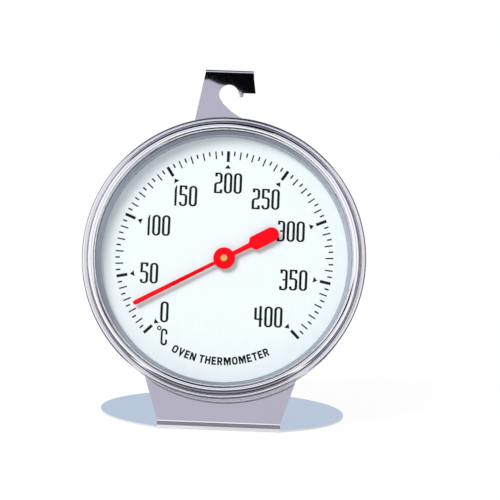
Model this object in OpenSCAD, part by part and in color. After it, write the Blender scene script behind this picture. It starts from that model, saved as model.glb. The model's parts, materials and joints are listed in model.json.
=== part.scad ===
// Oven thermometer: a round bimetal instrument riveted to a bent sheet that both hangs and stands.
// Millimetres, +Z up. The origin is on the floor, at the centre of the oval that the foot is cut from.
// The dial faces -Y and leans back. The instrument is drawn on its own axis: X to the right,
// Y up the dial and Z out of the dial, with zero at the front face of the back plate.

/* [Case] */
// Outside diameter of the case, over its rolled rim
case_diameter = 75; // [60:1:95]
// Depth from the back of the case to the crown of the bezel
case_depth = 12; // [11:0.5:15]
// Thickness of the pressed sheet of the case
case_sheet = 0.5; // [0.4:0.05:0.6]
// Diameter of the wire-like roll around the rim
rim_roll = 1.5; // [1.2:0.1:1.8]
// Width of the crown of the bezel, from its skirt to its lip
crown_width = 2.05; // [1.6:0.05:2.4]
// Thickness of the glass
glass_thickness = 1.4; // [1:0.1:2]
// Diameter of each vent hole in the back of the case
vent_diameter = 3; // [2:0.2:4]

/* [Stand] */
// Angle by which the dial and its plate lean back
lean = 16; // [8:1:22]
// Thickness of the sheet that the stand is bent from
sheet = 0.5; // [0.4:0.05:0.8]
// Width of the oval foot
foot_width = 66.8; // [56:0.2:80]
// Full depth of the oval that the foot is cut from
foot_depth = 49; // [44:1:60]
// Width of the web where it bends into the foot
web_width = 32.8; // [28:0.2:36]
// Outside radius of the bend between the web and the foot
bend_radius = 2.2; // [1.5:0.1:3]
// Length of the web below the rim of the case, up the plate
web_length = 5.3; // [4.4:0.1:12]
// Reach of the hook above the rim of the case, up to its fold
hook_reach = 13.8; // [11.6:0.1:18]
// Diameter of the round notch that hangs on a rack wire
notch_diameter = 5.3; // [5:0.1:6]
// Depth of the flange folded back from the top of the hook
flange_depth = 6; // [3:0.5:9]

/* [Dial and pointer] */
// Distance from the tip of the pointer to the edge of the dial that shows
pointer_margin = 6.1; // [3.8:0.1:10]
// Width of the pointer along its length
pointer_width = 0.85; // [0.6:0.05:1.2]
// Length of the tail from the axis to its round end
tail_length = 15.8; // [12:0.2:18]
// Diameter of the disc in the middle of the pointer
hub_disc = 5.6; // [5:0.1:7]
// Diameter of the brass boss that holds the pointer
boss_diameter = 1.8; // [1.6:0.1:2.2]
// Temperature that the pointer shows at rest
rest_temperature = 24; // [0:1:400]

/* [Movement] */
// Diameter of the spindle
spindle_diameter = 1; // [0.9:0.1:1.4]
// Outside diameter of the brass bearings
bearing_diameter = 3; // [2.6:0.1:4]
// Outside radius of the bimetal coil
coil_radius = 9.5; // [8:0.5:11]
// Number of turns in the coil
coil_turns = 5; // [3:1:6]
// Thickness of the bimetal strip
strip_thickness = 0.4; // [0.3:0.05:0.6]
// Distance of each foot of the bridge from the axis
bridge_reach = 14.5; // [13:0.5:17]

/* [Fits] */
// Gap between the spindle and its bearings, on the radius
spindle_gap = 0.05; // [0.02:0.01:0.1]
// Gap between the bezel skirt and the rolled rim, on the radius
bezel_gap = 0.05; // [0.02:0.01:0.1]
// Gap between the glass and the bezel skirt, on the radius
glass_gap = 0.1; // [0.05:0.05:0.2]
// Gap between each rivet shank and its hole, on the radius
rivet_gap = 0.05; // [0.02:0.01:0.1]
// Gap left at pieces pressed on the spindle and at pressed-in bearings, on the radius
press_gap = 0.01; // [0.01:0.01:0.03]

/* [Hidden] */
$fn = 96;
eps = 0.01;
steel = [0.78, 0.78, 0.80];
bright = [0.86, 0.87, 0.90];
brass = [0.86, 0.66, 0.36];

// Scale of the dial: degrees of turn for each degree Celsius, and the angle of zero from +X
turn_per_degree = 270 / 400;
zero_angle = 225;
rest_angle = zero_angle - rest_temperature * turn_per_degree;

// Radii of the case, from outside to inside
case_r = case_diameter / 2;
wall_out = case_r - 0.3;
wall_in = wall_out - case_sheet;
corner_r = 0.9;
rim_in = case_r - rim_roll;
skirt_out = rim_in - bezel_gap;
skirt_in = skirt_out - case_sheet;
lip_r = skirt_out - crown_width;
glass_r = skirt_in - glass_gap;
dial_r = glass_r - 0.4;
dial_seen_r = lip_r - 1.2;
pointer_length = dial_seen_r - pointer_margin;

// Heights on the instrument's axis
roll_z = case_depth - 2.4;
crown_rise = crown_width / 2;
crown_z = case_depth - crown_rise;
glass_top = crown_z - 0.35;
glass_bottom = glass_top - glass_thickness;
dial_sheet = 0.4;
dial_top = glass_bottom - 2.9;
dial_bottom = dial_top - dial_sheet;
bridge_sheet = 0.5;
bridge_top = dial_bottom - 0.15;
bridge_bottom = bridge_top - bridge_sheet;
pointer_sheet = 0.3;
pointer_bottom = dial_top + 1.35;
pointer_top = pointer_bottom + pointer_sheet;
boss_top = pointer_top + 0.45;
boss_shoulder = 0.9;

// Movement, between the cup floor and the bridge
spindle_r = spindle_diameter / 2;
spindle_foot = 0;
bore_r = spindle_r + spindle_gap;
pressed_r = spindle_r + press_gap;
bearing_r = bearing_diameter / 2;
bearing_flange = 0.25;
front_bush_r = bearing_r - 0.4;
rear_bearing_top = case_sheet + 2 * bearing_flange;
washer_sheet = 0.15;
washer_r = 1.3;
washer_play = 0.05;
collet_r = bearing_r + 0.2;
collet_bottom = rear_bearing_top + washer_play + washer_sheet;
collet_top = bridge_bottom - washer_play - washer_sheet;
coil_bottom = collet_bottom + 0.15;
coil_height = collet_top - coil_bottom - 0.15;
coil_inner_r = collet_r + strip_thickness / 2;
coil_steps = 30;
anchor_angle = 40;
anchor_half = 2;
anchor_sheet = 0.5;
anchor_face = coil_radius + strip_thickness / 2;
anchor_rivet_reach = anchor_face + 2.7;
end_rivet_r = 0.6;
bridge_strap = 5;
bridge_foot = 4.6;

// Rivets, and the cone of a rivet that is set flush in the cup floor
rivet_r = 1;
rivet_head_r = 1.7;
rivet_head = 0.45;
flush_r = rivet_r + 0.45;
case_rivet_reach = 20;
case_rivet_angles = [90, 210, 330];

// Vent holes stand clear of the back plate, three on each side
vent_angles = [-22, 0, 22, 158, 180, 202];

// Stand. The back plate is a disc, and the sides of the web run off it as tangents
axis_height = case_r + web_length;
hook_height = case_r + hook_reach;
bend_y = -foot_depth / 2 * sqrt(1 - pow(web_width / foot_width, 2));
plate_foot = [0, bend_y - bend_radius * cos(lean), bend_radius * (1 + sin(lean))];
dial_axis = plate_foot + axis_height * [0, sin(lean), cos(lean)];
bend_draw = 0.02;
bend_overlap = 0.3;
foot_step = 3;
web_flare = 18;
web_corner = [web_width / 2, -axis_height];
plate_r = web_corner[0] * cos(web_flare) - web_corner[1] * sin(web_flare);
hook_half = 6.5;
hook_flare = 10.2;
hook_tooth = 5.7;
notch_r = notch_diameter / 2;
notch_at = [-0.8, hook_height - hook_tooth];
nub_r = 0.55;
nub_at = [hook_half - 3.9, hook_height - hook_tooth - 0.15];
fold_r = 2 * sheet;
hook_shift = -0.8;
vent_reach = plate_r + vent_diameter / 2 + 0.3;

// Puts children on the instrument's axis, which leans back with the plate
module on_axis() {
    translate(dial_axis) rotate([90 - lean, 0, 0]) children();
}

// Puts one copy of the children at each angle, at one distance from the axis
module around(angles, reach) {
    for (angle = angles) rotate([0, 0, angle]) translate([reach, 0, 0]) children();
}

// A plain ring or disc from one height to another
module ring(outer, inner, from, to) {
    translate([0, 0, from]) difference() {
        cylinder(r = outer, h = to - from);
        if (inner > 0) translate([0, 0, -1]) cylinder(r = inner, h = to - from + 2);
    }
}

// A rivet whose shank runs between two heads. Each head starts at the face that it bears on
module rivet(from, to, shank, head, thick) {
    translate([0, 0, from - thick]) cylinder(r = head, h = thick);
    translate([0, 0, from - eps]) cylinder(r = shank, h = to - from + 2 * eps);
    translate([0, 0, to]) cylinder(r = head, h = thick);
}

// A rivet set flush in the cup floor, with its head on top of what it holds
module flush_rivet(to) {
    cylinder(r1 = flush_r, r2 = rivet_r, h = case_sheet);
    translate([0, 0, case_sheet - eps]) cylinder(r = rivet_r, h = to - case_sheet + 2 * eps);
    translate([0, 0, to]) cylinder(r = rivet_head_r, h = rivet_head);
}

// The cone that a flush rivet sits in
module flush_hole() {
    slope = (flush_r - rivet_r) / case_sheet;
    translate([0, 0, -1]) cylinder(
        r1 = flush_r + rivet_gap + slope,
        r2 = rivet_r + rivet_gap - slope * eps,
        h = case_sheet + 1 + eps
    );
}

// A plain hole for a rivet shank
module rivet_hole(shank = rivet_r) {
    translate([0, 0, -3]) cylinder(r = shank + rivet_gap, h = 9);
}

// A bent strip: an arc of sheet around its own Z axis
module bend(outer, thick, angle, width) {
    rotate_extrude(angle = angle) translate([outer - thick, 0]) square([thick, width]);
}

// Outline of the hook above the case, before the notch is cut
module hook_outline() {
    foot = 8;
    spread = (hook_height - foot) * tan(hook_flare);
    polygon([
        [hook_shift - hook_half, hook_height],
        [hook_shift - hook_half - spread, foot],
        [hook_half - hook_shift + spread, foot],
        [hook_half + 2.9, hook_height - 15.3],
        [hook_half, hook_height - hook_tooth],
        [hook_shift + hook_half, hook_height]
    ]);
}

// The round notch, and the throat that runs out of it between the nub and the slope below
module notch_cut() {
    slope_start = notch_at + (notch_r - 0.1) * [cos(207), sin(207)];
    tooth_y = hook_height - hook_tooth + 0.45;
    open_x = hook_half + 8;
    translate(notch_at) circle(r = notch_r);
    polygon([
        [notch_at[0], tooth_y],
        [open_x, tooth_y],
        [open_x, hook_height - 17],
        [7.5, hook_height - 14.7],
        [2.2, hook_height - 11.8],
        [0.1, hook_height - 10.5],
        [-2.3, hook_height - 8.3],
        slope_start
    ]);
}

// Flat shape of the plate in front of the bend: web, disc and hook
module plate_outline() {
    tangent = plate_r * [cos(web_flare), -sin(web_flare)];
    difference() {
        union() {
            circle(r = plate_r);
            polygon([
                web_corner,
                tangent,
                [-tangent[0], tangent[1]],
                [-web_corner[0], web_corner[1]]
            ]);
            hook_outline();
        }
        notch_cut();
    }
    translate(nub_at) circle(r = nub_r);
    translate(nub_at - [nub_r, 0]) square([2 * nub_r, 0.8]);
}

// The flat oval, cut off at the bend
module foot_plate() {
    oval = [for (a = [0:foot_step:360 - foot_step])
        [foot_width / 2 * cos(a), foot_depth / 2 * sin(a)]];
    linear_extrude(sheet) intersection() {
        polygon(oval);
        translate([-foot_width, bend_y]) square(2 * foot_width);
    }
}

module hanger_stand() {
    color(bright) {
        on_axis() difference() {
            translate([0, 0, -sheet]) linear_extrude(sheet) plate_outline();
            around(case_rivet_angles, case_rivet_reach) rivet_hole();
            // Clears the rear bearing
            translate([0, 0, -1]) cylinder(r = bearing_r + 1.5, h = 2);
        }
        foot_plate();
        // Bend from the foot up into the web. The sheet draws a little thinner there
        translate([web_width / 2 - bend_draw, bend_y, bend_radius])
            rotate([0, -90, 0]) rotate([0, 0, 180 - bend_overlap]) bend(
                bend_radius - bend_draw,
                sheet - 2 * bend_draw,
                90 + lean + 2 * bend_overlap,
                web_width - 2 * bend_draw
            );
        // Flange folded back from the top of the hook
        on_axis() translate([hook_shift, hook_height, -fold_r]) {
            translate([hook_half, 0, 0]) rotate([0, -90, 0]) bend(fold_r, sheet, 90, 2 * hook_half);
            translate([-hook_half, fold_r - sheet, -flange_depth])
                cube([2 * hook_half, sheet, flange_depth]);
        }
    }
}

module case_rivets() {
    color(steel) on_axis() around(case_rivet_angles, case_rivet_reach)
        rivet(-sheet, case_sheet, rivet_r, rivet_head_r, rivet_head);
}

// A pressed cup: floor, rounded corner, wall and rolled rim
module case_cup() {
    color(steel) on_axis() difference() {
        rotate_extrude() {
            square([wall_out - corner_r, case_sheet]);
            translate([wall_out - corner_r, corner_r]) intersection() {
                difference() {
                    circle(r = corner_r);
                    circle(r = corner_r - case_sheet);
                }
                translate([0, -corner_r]) square(corner_r);
            }
            translate([wall_in, corner_r]) square([case_sheet, roll_z - corner_r]);
            translate([rim_in + rim_roll / 2, roll_z]) circle(d = rim_roll);
        }
        translate([0, 0, -1]) cylinder(r = bearing_r + press_gap, h = 3);
        around(case_rivet_angles, case_rivet_reach) rivet_hole();
        around([0, 180], bridge_reach) flush_hole();
        around([anchor_angle], anchor_rivet_reach) flush_hole();
        around(vent_angles, vent_reach) translate([0, 0, -1]) cylinder(d = vent_diameter, h = 3);
    }
}

module bezel_ring() {
    crown_mid = skirt_out - crown_width / 2;
    thick = case_sheet;
    color(bright) on_axis() rotate_extrude() {
        // Crown: the upper half of a rolled section
        translate([crown_mid, crown_z]) intersection() {
            difference() {
                circle(d = crown_width);
                circle(d = crown_width - 2 * thick);
            }
            translate([-crown_width, 0]) square([2 * crown_width, crown_width]);
        }
        // Lip down to the glass
        translate([lip_r, glass_top]) square([thick, crown_z - glass_top]);
        // Skirt inside the case wall
        translate([skirt_in, glass_bottom - 1]) square([thick, crown_z - glass_bottom + 1]);
    }
}

module lens_glass() {
    color([0.85, 0.93, 0.95, 0.35]) on_axis() ring(glass_r, 0, glass_bottom, glass_top);
}

module spacer_ring() {
    foot_z = dial_top;
    thick = 0.4;
    color(steel) on_axis() rotate_extrude() polygon([
        [dial_seen_r, foot_z],
        [dial_seen_r + thick, foot_z],
        [lip_r - 0.2 + thick, glass_bottom - thick],
        [glass_r - 0.3, glass_bottom - thick],
        [glass_r - 0.3, glass_bottom],
        [lip_r - 0.2, glass_bottom]
    ]);
}

module dial_plate() {
    color([0.96, 0.97, 0.98]) on_axis() ring(dial_r, bearing_r + 0.4, dial_bottom, dial_top);
}

// A flange under the dial, a wall, and a foot on the cup floor
module dial_support_ring() {
    thick = 0.5;
    outer = dial_r - 0.3;
    color(steel) on_axis() {
        ring(outer, outer - 2.5, dial_bottom - thick, dial_bottom);
        ring(outer - 2.5 + thick, outer - 2.5, case_sheet, dial_bottom);
    }
}

// A strap over the coil, on two legs with feet turned outwards
module movement_bridge() {
    leg_x = bridge_reach - bridge_foot / 2;
    color(steel) on_axis() difference() {
        union() {
            translate([-leg_x, -bridge_strap / 2, bridge_bottom])
                cube([2 * leg_x, bridge_strap, bridge_sheet]);
            for (side = [-1, 1]) {
                translate([side * leg_x - (side + 1) / 2 * bridge_sheet, -bridge_strap / 2, case_sheet])
                    cube([bridge_sheet, bridge_strap, bridge_top - case_sheet]);
                translate([side * bridge_reach - bridge_foot / 2, -bridge_strap / 2, case_sheet])
                    cube([bridge_foot, bridge_strap, bridge_sheet]);
            }
        }
        translate([0, 0, bridge_bottom - 1]) cylinder(r = front_bush_r + press_gap, h = 3);
        around([0, 180], bridge_reach) rivet_hole();
    }
}

module bridge_rivets() {
    color(steel) on_axis() around([0, 180], bridge_reach) flush_rivet(case_sheet + bridge_sheet);
}

// A bush in the bridge, with its flange in the hole of the dial
module front_bearing() {
    color(brass) on_axis() difference() {
        union() {
            translate([0, 0, bridge_bottom]) cylinder(r = front_bush_r, h = bridge_sheet + eps);
            translate([0, 0, bridge_top]) cylinder(r = bearing_r, h = bearing_flange);
        }
        translate([0, 0, bridge_bottom - 1]) cylinder(r = bore_r, h = 3);
    }
}

// A bush in the cup floor, closed at the back, with its flange inside
module rear_bearing() {
    back = spindle_foot - 0.4;
    color(brass) on_axis() difference() {
        union() {
            translate([0, 0, back]) cylinder(r = bearing_r, h = rear_bearing_top - back);
            translate([0, 0, case_sheet]) cylinder(r = bearing_r + 0.7, h = bearing_flange);
        }
        translate([0, 0, spindle_foot - 0.1]) cylinder(r = bore_r, h = 3);
    }
}

// An angle bracket: a tab behind the end of the strip, and a foot on the cup floor
module coil_anchor() {
    foot = 4.8;
    color(steel) on_axis() rotate([0, 0, anchor_angle]) difference() {
        union() {
            translate([anchor_face, -anchor_half, case_sheet])
                cube([anchor_sheet, 2 * anchor_half, coil_bottom + coil_height - case_sheet]);
            translate([anchor_face, -anchor_half, case_sheet]) cube([foot, 2 * anchor_half, anchor_sheet]);
        }
        translate([anchor_rivet_reach, 0, 0]) rivet_hole();
        translate([anchor_face, 0, coil_bottom + coil_height / 2]) rotate([0, 90, 0])
            translate([0, 0, -1]) cylinder(r = end_rivet_r + rivet_gap, h = 3);
    }
}

module anchor_rivet() {
    color(steel) on_axis() around([anchor_angle], anchor_rivet_reach)
        flush_rivet(case_sheet + anchor_sheet);
}

// A flat spiral of strip, from a tab in the collet to a straight end on the anchor
module bimetal_coil() {
    half = strip_thickness / 2;
    last = anchor_angle - 12;
    sweep = 360 * coil_turns;
    steps = coil_steps * coil_turns;
    growth = coil_radius - coil_inner_r;
    outer_edge = [for (i = [0:steps]) let (a = last - sweep + sweep * i / steps)
        (coil_inner_r + growth * i / steps + half) * [cos(a), sin(a)]];
    inner_edge = [for (i = [steps:-1:0]) let (a = last - sweep + sweep * i / steps)
        (coil_inner_r + growth * i / steps - half) * [cos(a), sin(a)]];
    color(brass) on_axis() difference() {
        translate([0, 0, coil_bottom]) linear_extrude(coil_height) {
            polygon(concat(outer_edge, inner_edge));
            rotate(last) translate([collet_r - 0.6, -half]) square([0.6 + half, strip_thickness]);
            rotate(anchor_angle) translate([coil_radius - half, -anchor_half])
                square([strip_thickness, 2 * anchor_half]);
        }
        rotate([0, 0, anchor_angle]) translate([coil_radius, 0, coil_bottom + coil_height / 2])
            rotate([0, 90, 0]) translate([0, 0, -1]) cylinder(r = end_rivet_r + rivet_gap, h = 2);
    }
}

module coil_end_rivet() {
    color(steel) on_axis() rotate([0, 0, anchor_angle])
        translate([0, 0, coil_bottom + coil_height / 2]) rotate([0, 90, 0])
            rivet(coil_radius - strip_thickness / 2, anchor_face + anchor_sheet, end_rivet_r, 1, 0.3);
}

module thrust_washers() {
    color(brass) on_axis() {
        ring(washer_r, bore_r, collet_bottom - washer_sheet, collet_bottom);
        ring(washer_r, bore_r, collet_top, collet_top + washer_sheet);
    }
}

// A collar with a slot that takes the inner end of the strip
module coil_collet() {
    slot = strip_thickness + 0.1;
    color(brass) on_axis() difference() {
        translate([0, 0, collet_bottom]) cylinder(r = collet_r, h = collet_top - collet_bottom);
        translate([0, 0, collet_bottom - 1]) cylinder(r = pressed_r, h = collet_top);
        rotate([0, 0, anchor_angle - 12]) translate([collet_r - 0.7, -slot / 2, coil_bottom - 0.05])
            cube([2, slot, collet_top]);
    }
}

// A plain shaft with a thinner tip
module spindle() {
    tip = 0.2;
    color(steel) on_axis() {
        translate([0, 0, spindle_foot]) cylinder(r = spindle_r, h = boss_top - spindle_foot);
        translate([0, 0, boss_top - eps]) cylinder(r = spindle_r / 2, h = tip);
    }
}

// A brass boss: a shoulder under the pointer, and a neck through it
module pointer_hub() {
    boss_r = boss_diameter / 2;
    color(brass) on_axis() difference() {
        union() {
            translate([0, 0, pointer_bottom - boss_shoulder])
                cylinder(r = bearing_r, h = boss_shoulder);
            translate([0, 0, pointer_bottom - eps]) cylinder(r = boss_r, h = boss_top - pointer_bottom + eps);
        }
        translate([0, 0, pointer_bottom - 2]) cylinder(r = pressed_r, h = 5);
    }
}

// The pointer's flat shape, along +X from the axis, with its tail along -X
module pointer_outline() {
    neck = 1.06;
    paddle = 3.44;
    neck_end = 7.7;
    shoulder_end = 8.7;
    paddle_end = tail_length - paddle / 2;
    circle(d = hub_disc);
    translate([0, -pointer_width / 2]) square([pointer_length - pointer_width / 2, pointer_width]);
    translate([pointer_length - pointer_width / 2, 0]) circle(d = pointer_width);
    translate([-shoulder_end, -neck / 2]) square([shoulder_end, neck]);
    polygon([
        [-neck_end, neck / 2],
        [-shoulder_end, paddle / 2],
        [-paddle_end, paddle / 2],
        [-paddle_end, -paddle / 2],
        [-shoulder_end, -paddle / 2],
        [-neck_end, -neck / 2]
    ]);
    translate([-paddle_end, 0]) circle(d = paddle);
}

module pointer() {
    hole_r = boss_diameter / 2 + press_gap;
    color([0.86, 0.05, 0.07]) on_axis() rotate([0, 0, rest_angle]) difference() {
        translate([0, 0, pointer_bottom]) linear_extrude(pointer_sheet) pointer_outline();
        translate([0, 0, pointer_bottom - 1]) cylinder(r = hole_r, h = 3);
    }
}

hanger_stand();
case_rivets();
case_cup();
bezel_ring();
lens_glass();
spacer_ring();
dial_plate();
dial_support_ring();
movement_bridge();
bridge_rivets();
front_bearing();
rear_bearing();
coil_anchor();
anchor_rivet();
bimetal_coil();
coil_end_rivet();
thrust_washers();
coil_collet();
spindle();
pointer_hub();
pointer();
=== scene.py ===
import json
import math
from collections import namedtuple

import bmesh
import bpy
from bpy.props import FloatProperty, FloatVectorProperty, IntProperty, PointerProperty, StringProperty
from mathutils import Matrix, Vector


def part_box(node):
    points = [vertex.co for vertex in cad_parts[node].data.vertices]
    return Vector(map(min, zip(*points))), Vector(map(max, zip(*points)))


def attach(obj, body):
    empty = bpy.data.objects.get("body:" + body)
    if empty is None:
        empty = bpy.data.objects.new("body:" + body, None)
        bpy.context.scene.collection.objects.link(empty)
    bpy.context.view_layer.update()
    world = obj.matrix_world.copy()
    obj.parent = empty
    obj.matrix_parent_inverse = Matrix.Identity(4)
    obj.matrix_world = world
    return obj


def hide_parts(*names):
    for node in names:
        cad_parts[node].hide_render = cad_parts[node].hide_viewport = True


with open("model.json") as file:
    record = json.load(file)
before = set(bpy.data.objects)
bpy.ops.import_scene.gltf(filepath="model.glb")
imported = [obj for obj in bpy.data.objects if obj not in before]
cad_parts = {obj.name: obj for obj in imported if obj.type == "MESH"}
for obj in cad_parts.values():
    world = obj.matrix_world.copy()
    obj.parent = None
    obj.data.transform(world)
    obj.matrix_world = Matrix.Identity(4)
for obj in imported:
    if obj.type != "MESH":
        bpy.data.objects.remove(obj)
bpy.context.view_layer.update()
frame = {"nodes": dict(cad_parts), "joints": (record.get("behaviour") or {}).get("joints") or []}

bl_info = {
    "name": "Oven thermometer",
    "version": (1, 0, 0),
    "blender": (4, 5, 0),
    "location": "3D View > Sidebar > Oven thermometer",
    "description": "Builds the looks of a round oven thermometer around its packed model",
    "category": "Add Mesh",
}

MM = 0.001
NODES = frame["nodes"]
CASE_BODY = "case_assembly"
POINTER_BODY = "pointer_assembly"
UNDO = {"REGISTER", "UNDO"}
FINE_TURN = 320  # segments round a large turned piece
MERGE = 2e-6  # metres between CAD vertices that count as one

# The dial's own frame: X to the right, Y up the dial and Z out of the dial, from the pointer's joint
TURN = next(joint for joint in frame["joints"] if joint["name"] == "pointer_turn")
PIVOT = Vector(TURN["pos_m"])
OUT = -Vector(TURN["axis"]).normalized()
RECLINE = math.atan2(-OUT.y, OUT.z)
DIAL = Matrix.Translation(PIVOT) @ Matrix.Rotation(RECLINE, 4, "X")

Band = namedtuple("Band", "inner outer low high")


def span(node):
    """Reach of a CAD node from the dial's axis, and its heights along that axis."""
    into = DIAL.inverted()
    spots = [into @ vertex.co for vertex in NODES[node].data.vertices]
    reach = [math.hypot(spot.x, spot.y) for spot in spots]
    heights = [spot.z for spot in spots]
    return Band(min(reach), max(reach), min(heights), max(heights))


# ---- node trees

class Wire:
    """One output socket. Arithmetic on it adds Math nodes."""

    def __init__(self, net, socket):
        self.net, self.socket = net, socket

    def math(self, operation, *others, swap=False):
        values = [*others, self] if swap else [self, *others]
        return self.net.node("ShaderNodeMath", dict(enumerate(values)), operation=operation)

    def __add__(self, other): return self.math("ADD", other)
    def __sub__(self, other): return self.math("SUBTRACT", other)
    def __rsub__(self, other): return self.math("SUBTRACT", other, swap=True)
    def __mul__(self, other): return self.math("MULTIPLY", other)
    def __truediv__(self, other): return self.math("DIVIDE", other)
    def __pow__(self, other): return self.math("POWER", other)
    def __lt__(self, other): return self.math("LESS_THAN", other)

    def __getitem__(self, name):
        """Another output of the same node."""
        return Wire(self.net, self.socket.node.outputs[name])

    def step(self, low, high):
        """0 below low, 1 above high, and a smooth change between them."""
        return self.net.node(
            "ShaderNodeMapRange", {"Value": self, "From Min": low, "From Max": high},
            interpolation_type="SMOOTHSTEP")


class Net:
    """A node tree that is filled one node at a time."""

    def __init__(self, tree):
        self.tree = tree

    def node(self, kind, values=None, out=0, **settings):
        made = self.tree.nodes.new(kind)
        for key, value in settings.items():
            setattr(made, key, value)
        for key, value in (values or {}).items():
            self.put(made.inputs[key], value)
        return Wire(self, made.outputs[out]) if made.outputs else made

    def put(self, socket, value):
        """Links a wire to an input socket, or sets the socket to a constant."""
        if isinstance(value, Wire):
            self.tree.links.new(value.socket, socket)
        else:
            socket.default_value = value

    def where(self):
        """Object coordinates in metres."""
        return self.node("ShaderNodeTexCoord", out="Object")

    def vector(self, operation, *values, out=0):
        return self.node("ShaderNodeVectorMath", dict(enumerate(values)), out, operation=operation)

    def join(self, x, y, z):
        return self.node("ShaderNodeCombineXYZ", {0: x, 1: y, 2: z})

    def split(self, vector):
        made = self.node("ShaderNodeSeparateXYZ", {0: vector})
        return made, made["Y"], made["Z"]

    def mix(self, factor, first, second):
        """A colour between two colours."""
        made = self.node("ShaderNodeMix", out=2, data_type="RGBA")
        for name, value in (("Factor_Float", factor), ("A_Color", first), ("B_Color", second)):
            socket = next(s for s in made.socket.node.inputs if s.identifier == name)
            self.put(socket, (*value, 1) if isinstance(value, tuple) else value)
        return made

    def scaled(self, colour, shade):
        """A colour made lighter or darker by a wire."""
        made = self.vector("SCALE", colour)
        self.put(made.socket.node.inputs["Scale"], shade)
        return made

    def noise(self, vector, scale, detail=2.0, roughness=0.5):
        return self.node("ShaderNodeTexNoise",
                         {"Vector": vector, "Scale": scale, "Detail": detail, "Roughness": roughness})


# ---- flat shapes

def softened(corners, closed=False, steps=6):
    """A line through corners (x, y) or (x, y, radius), with an arc at each corner that has a radius."""
    line = []
    count = len(corners)
    for index, corner in enumerate(corners):
        here = Vector(corner[:2])
        radius = corner[2] if len(corner) > 2 else 0
        if not radius or (not closed and index in (0, count - 1)):
            line.append(here)
            continue
        back = Vector(corners[index - 1][:2]) - here
        ahead = Vector(corners[(index + 1) % count][:2]) - here
        half = back.angle(ahead) / 2
        back.normalize()
        ahead.normalize()
        cut = radius / math.tan(half)
        centre = here + (back + ahead).normalized() * (radius / math.sin(half))
        start = here + back * cut - centre
        end = here + ahead * cut - centre
        sweep = math.atan2(start.x * end.y - start.y * end.x, start.dot(end))
        for step in range(steps + 1):
            angle = sweep * step / steps
            line.append(centre + Vector((start.x * math.cos(angle) - start.y * math.sin(angle),
                                         start.x * math.sin(angle) + start.y * math.cos(angle))))
    return line


def arc(x, y, radius, start, end, steps):
    """Points on an arc, with its angles in degrees."""
    angles = [math.radians(start + (end - start) * step / steps) for step in range(steps + 1)]
    return [(x + radius * math.cos(angle), y + radius * math.sin(angle)) for angle in angles]


def ribbon(path, width, closed=False, stretch=1.0):
    """Both sides of a pen stroke along a path. A stretch makes its upright runs wider."""
    thin = [Vector((point[0] / stretch, point[1])) for point in path]
    count = len(thin)
    sides = ([], [])
    for index, here in enumerate(thin):
        runs = []
        if closed or index > 0:
            runs.append((here - thin[index - 1]).normalized())
        if closed or index < count - 1:
            runs.append((thin[(index + 1) % count] - here).normalized())
        along = (runs[0] + runs[-1]).normalized()
        across = Vector((-along.y, along.x)) * (width / 2 / max(0.3, along.dot(runs[0])))
        for side, sign in zip(sides, (1, -1)):
            spot = here + sign * across
            side.append((spot.x * stretch, spot.y))
    return sides[0], sides[1], closed


def print_ink(name, strokes, ink):
    """Raised ink on the dial from pen strokes, with its foot a little inside the face."""
    face = span("dial_plate").high
    low, high = face - ink / 4, face + ink
    mesh = bmesh.new()
    for left, right, closed in strokes:
        rails = [[mesh.verts.new(DIAL @ Vector((x, y, z))) for x, y in side]
                 for side, z in ((left, high), (right, high), (right, low), (left, low))]
        count = len(left)
        for index in range(count if closed else count - 1):
            following = (index + 1) % count
            for rail, next_rail in zip(rails, rails[1:] + rails[:1]):
                mesh.faces.new((rail[index], next_rail[index], next_rail[following], rail[following]))
        if not closed:
            mesh.faces.new([rail[0] for rail in reversed(rails)])
            mesh.faces.new([rail[-1] for rail in rails])
    bmesh.ops.recalc_face_normals(mesh, faces=mesh.faces)
    piece = placed(name, mesh)
    dress(piece, finish("ink"))
    fit_in(piece, CASE_BODY, "dial")


# ---- meshes

def linked(name, data):
    """A new object at the origin, linked to the scene."""
    made = bpy.data.objects.new(name, data)
    bpy.context.scene.collection.objects.link(made)
    return made


def placed(name, shape, smooth_angle=35):
    """Links a bmesh or a mesh as a new object at the origin, shaded smooth up to an angle."""
    if isinstance(shape, bmesh.types.BMesh):
        data = bpy.data.meshes.new(name)
        shape.to_mesh(data)
        shape.free()
    else:
        data = shape
        data.name = name
    data.shade_smooth()
    data.set_sharp_from_angle(angle=math.radians(smooth_angle))
    return linked(name, data)


def evaluated(source):
    """The mesh that an object's modifiers make. The object goes."""
    graph = bpy.context.evaluated_depsgraph_get()
    data = bpy.data.meshes.new_from_object(source.evaluated_get(graph))
    old = source.data
    bpy.data.objects.remove(source)
    bpy.data.meshes.remove(old)
    return data


def outward(data):
    """Turns a closed mesh's faces outwards."""
    mesh = bmesh.new()
    mesh.from_mesh(data)
    if mesh.calc_volume(signed=True) < 0:
        bmesh.ops.reverse_faces(mesh, faces=mesh.faces)
    mesh.to_mesh(data)
    mesh.free()
    return data


def worn(name, mesh, look, width, segments=2):
    """Rounds every edge of a mesh that is sharper than 40 degrees."""
    source = placed(name + "_source", mesh, 180)
    bevel = source.modifiers.new("edges", "BEVEL")
    bevel.width, bevel.segments = width, segments
    bevel.limit_method, bevel.angle_limit = "ANGLE", math.radians(40)
    bevel.use_clamp_overlap = True
    bevel.miter_outer = "MITER_ARC"
    level = source.modifiers.new("level faces", "WEIGHTED_NORMAL")
    level.mode, level.weight = "FACE_AREA", 100
    data = evaluated(source)
    data.name = name
    made = linked(name, data)
    dress(made, finish(look))
    return made


def merged_copy(node, flatten=True):
    """A merged copy of a CAD node's mesh, with its flat faces joined or left as they are."""
    mesh = bmesh.new()
    mesh.from_mesh(NODES[node].data)
    bmesh.ops.remove_doubles(mesh, verts=mesh.verts, dist=MERGE)
    if flatten:
        bmesh.ops.dissolve_limit(mesh, angle_limit=math.radians(0.5), verts=mesh.verts,
                                 edges=mesh.edges)
    return mesh


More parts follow.
